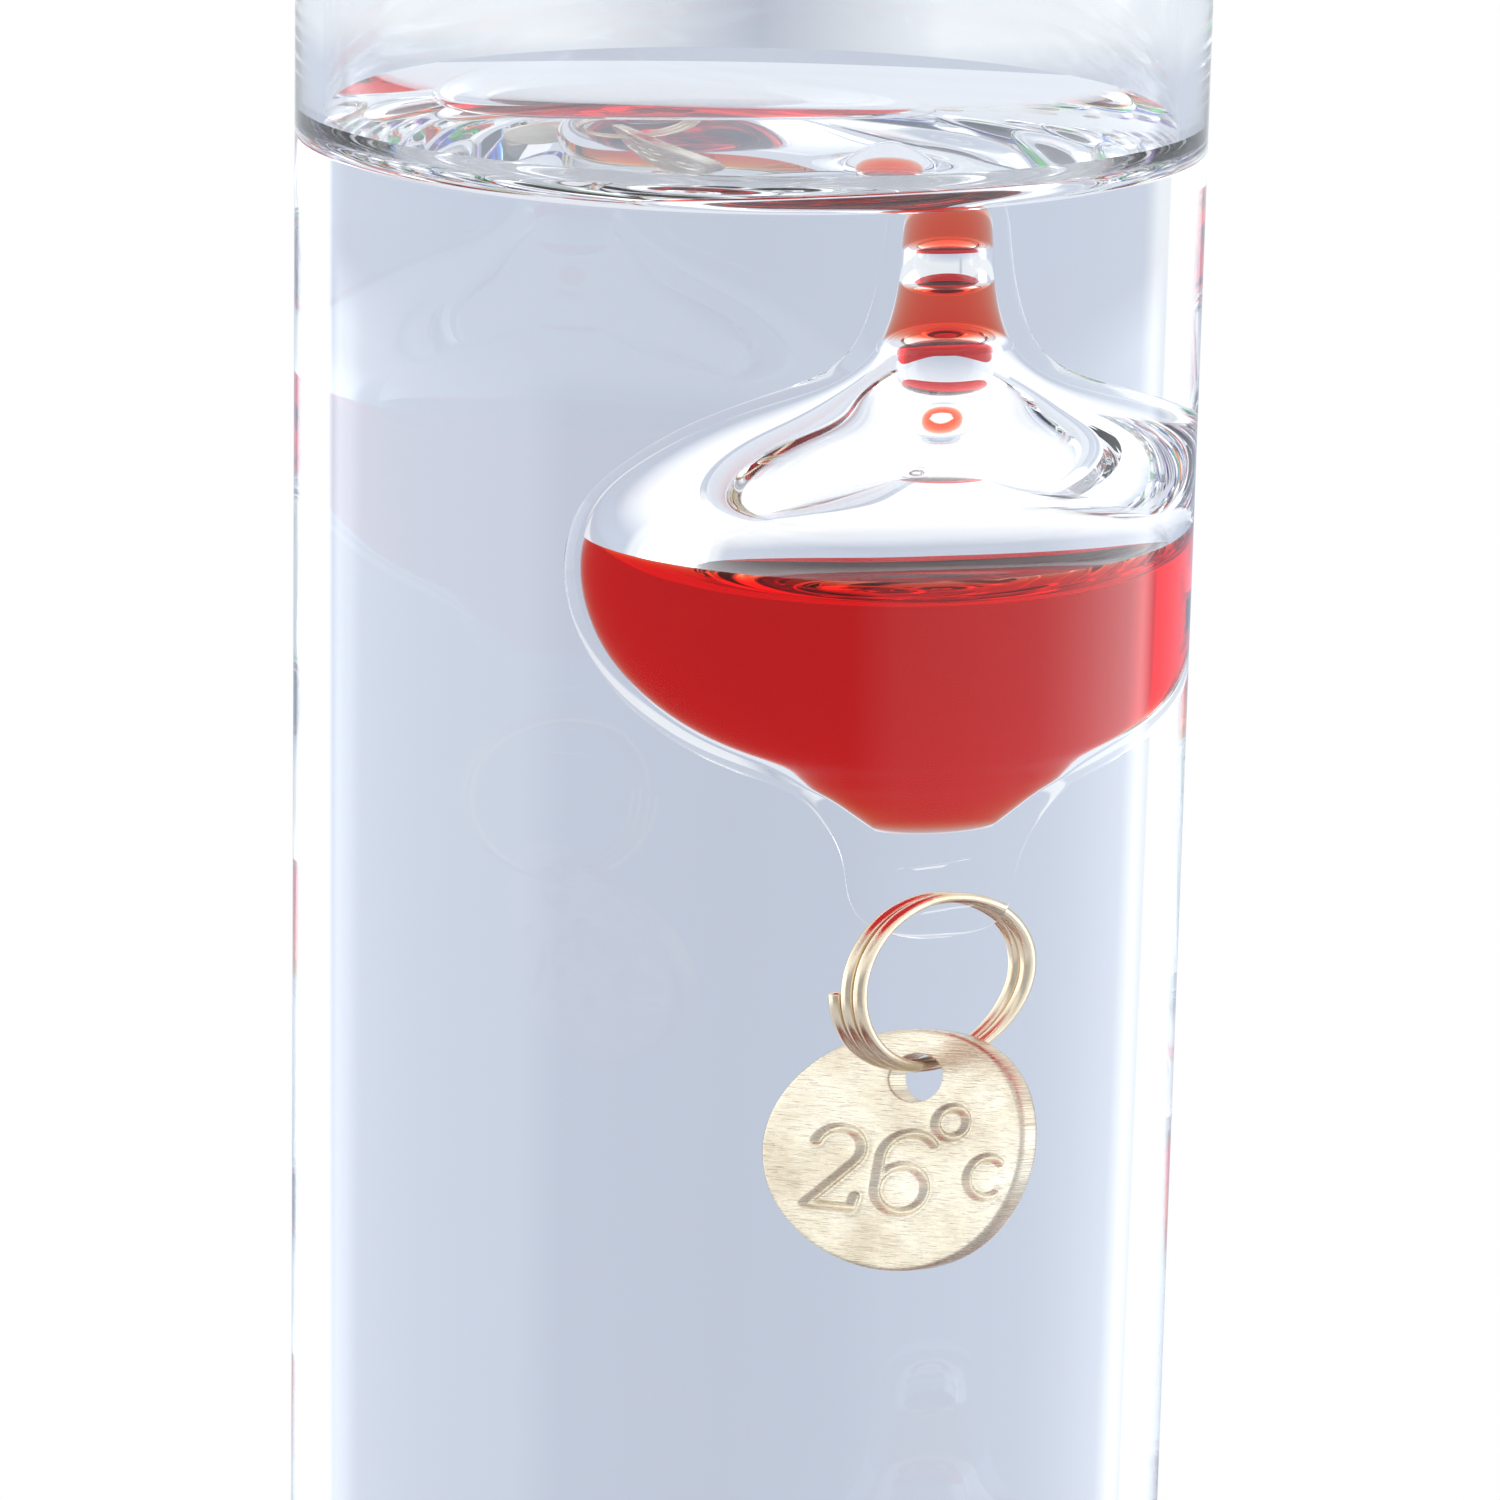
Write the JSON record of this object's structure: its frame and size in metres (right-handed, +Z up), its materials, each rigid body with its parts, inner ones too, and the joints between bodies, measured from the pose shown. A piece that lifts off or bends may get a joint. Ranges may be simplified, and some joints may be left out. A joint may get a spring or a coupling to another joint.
{
  "type": "galileo thermometer",
  "caption": "Tall sealed glass cylinder of clear liquid holding coloured glass floats, each hung with a ring and a stamped temperature tag, that rise and sink with room temperature.",
  "frame": {"origin": "centre of the flat foot, on the table", "axes": "+Z up along the tube, towards the drawn tip; -Y is the front, the side the red float's tag is read from"},
  "size_m": [0.04, 0.04, 0.28],
  "materials": {
    "tube_glass": "clear, polished",
    "fill_liquid": "clear, colourless oil",
    "float_glass": "clear, thin blown",
    "ring_metal": "polished, pale gold plating",
    "tag_metal": "brushed, pale gold plating",
    "dye_red": "clear, strongly dyed liquid",
    "dye_orange": "clear, strongly dyed liquid",
    "dye_green": "clear, strongly dyed liquid",
    "dye_blue": "clear, strongly dyed liquid",
    "dye_purple": "clear, strongly dyed liquid"
  },
  "bodies": {
    "vessel": {"glass_tube": "tube_glass", "fill_liquid": "fill_liquid"},
    "dye_body_26": {"dye_26": "dye_red", "neck_dye_26": "dye_red", "tip_dye_26": "dye_red"},
    "bulb_body_26": {"bulb_26": "float_glass"},
    "ring_body_26": {"ring_26": "ring_metal"},
    "tag_body_26": {"tag_26": "tag_metal"},
    "dye_body_24": {"dye_24": "dye_orange", "neck_dye_24": "dye_orange"},
    "bulb_body_24": {"bulb_24": "float_glass"},
    "ring_body_24": {"ring_24": "ring_metal"},
    "tag_body_24": {"tag_24": "tag_metal"},
    "dye_body_22": {"dye_22": "dye_green", "neck_dye_22": "dye_green"},
    "bulb_body_22": {"bulb_22": "float_glass"},
    "ring_body_22": {"ring_22": "ring_metal"},
    "tag_body_22": {"tag_22": "tag_metal"},
    "dye_body_20": {"dye_20": "dye_blue", "neck_dye_20": "dye_blue"},
    "bulb_body_20": {"bulb_20": "float_glass"},
    "ring_body_20": {"ring_20": "ring_metal"},
    "tag_body_20": {"tag_20": "tag_metal"},
    "dye_body_18": {"dye_18": "dye_purple", "neck_dye_18": "dye_purple"},
    "bulb_body_18": {"bulb_18": "float_glass"},
    "ring_body_18": {"ring_18": "ring_metal"},
    "tag_body_18": {"tag_18": "tag_metal"}
  },
  "joints": [
    {"name": "rise_26", "type": "slide", "parent": "vessel", "child": "dye_body_26", "axis": [0, 0, 1], "range_m": [-0.0254, 0], "stiffness_N_per_m": 1, "springref_m": 0.075, "deforming": ["fill_liquid"]},
    {"name": "turn_26", "type": "hinge", "parent": "dye_body_26", "child": "bulb_body_26", "pos_m": [0.0061, -0.0002, 0.2219], "axis": [0, 0, 1], "continuous": true},
    {"name": "ring_swing_26", "type": "hinge", "parent": "bulb_body_26", "child": "ring_body_26", "pos_m": [0.00621, -0.00028, 0.20733], "axis": [0.6157, 0.788, 0], "range_deg": [-15, 15]},
    {"name": "tag_swing_26", "type": "hinge", "parent": "ring_body_26", "child": "tag_body_26", "pos_m": [0.00599, -0.00012, 0.19965], "axis": [0.5507, 0.8164, -0.1736], "range_deg": [-20, 7]},
    {"name": "rise_24", "type": "slide", "parent": "vessel", "child": "dye_body_24", "axis": [0, 0, 1], "range_m": [0, 0.0254]},
    {"name": "turn_24", "type": "hinge", "parent": "dye_body_24", "child": "bulb_body_24", "pos_m": [-0.00685, 0.0007, 0.159], "axis": [0, 0, 1], "continuous": true},
    {"name": "ring_swing_24", "type": "hinge", "parent": "bulb_body_24", "child": "ring_body_24", "pos_m": [-0.00674, 0.00077, 0.14443], "axis": [-0.5299, 0.848, 0], "range_deg": [-15, 15]},
    {"name": "tag_swing_24", "type": "hinge", "parent": "ring_body_24", "child": "tag_body_24", "pos_m": [-0.00696, 0.00063, 0.13675], "axis": [-0.5789, 0.7967, -0.1736], "range_deg": [-20, 7]},
    {"name": "rise_22", "type": "slide", "parent": "vessel", "child": "dye_body_22", "axis": [0, 0, 1], "range_m": [0, 0.0254]},
    {"name": "turn_22", "type": "hinge", "parent": "dye_body_22", "child": "bulb_body_22", "pos_m": [0.00675, -0.0012, 0.1215], "axis": [0, 0, 1], "continuous": true},
    {"name": "ring_swing_22", "type": "hinge", "parent": "bulb_body_22", "child": "ring_body_22", "pos_m": [0.00674, -0.00134, 0.10693], "axis": [0.9986, -0.0523, 0], "range_deg": [-15, 15]},
    {"name": "tag_swing_22", "type": "hinge", "parent": "ring_body_22", "child": "tag_body_22", "pos_m": [0.00676, -0.00106, 0.09925], "axis": [0.9847, 0.0172, -0.1736], "range_deg": [-20, 7]},
    {"name": "rise_20", "type": "slide", "parent": "vessel", "child": "dye_body_20", "axis": [0, 0, 1], "range_m": [0, 0.0254]},
    {"name": "turn_20", "type": "hinge", "parent": "dye_body_20", "child": "bulb_body_20", "pos_m": [-0.00675, -0.0013, 0.084], "axis": [0, 0, 1], "continuous": true},
    {"name": "ring_swing_20", "type": "hinge", "parent": "bulb_body_20", "child": "ring_body_20", "pos_m": [-0.00662, -0.00133, 0.06943], "axis": [0.225, 0.9744, 0], "range_deg": [-15, 15]},
    {"name": "tag_swing_20", "type": "hinge", "parent": "ring_body_20", "child": "tag_body_20", "pos_m": [-0.00688, -0.00127, 0.06175], "axis": [0.1541, 0.9727, -0.1736], "range_deg": [-20, 7]},
    {"name": "rise_18", "type": "slide", "parent": "vessel", "child": "dye_body_18", "axis": [0, 0, 1], "range_m": [0, 0.0254]},
    {"name": "turn_18", "type": "hinge", "parent": "dye_body_18", "child": "bulb_body_18", "pos_m": [0.0068, 0.0011, 0.0465], "axis": [0, 0, 1], "continuous": true},
    {"name": "ring_swing_18", "type": "hinge", "parent": "bulb_body_18", "child": "ring_body_18", "pos_m": [0.00682, 0.00123, 0.03193], "axis": [-0.9903, 0.1392, 0], "range_deg": [-15, 15]},
    {"name": "tag_swing_18", "type": "hinge", "parent": "ring_body_18", "child": "tag_body_18", "pos_m": [0.00678, 0.00097, 0.02425], "axis": [-0.9824, 0.0687, -0.1736], "range_deg": [-20, 7]}
  ],
  "couplings": [
    {"joint": "rise_22", "follows": "rise_24", "ratio": 1},
    {"joint": "rise_20", "follows": "rise_24", "ratio": 1},
    {"joint": "rise_18", "follows": "rise_24", "ratio": 1}
  ]
}
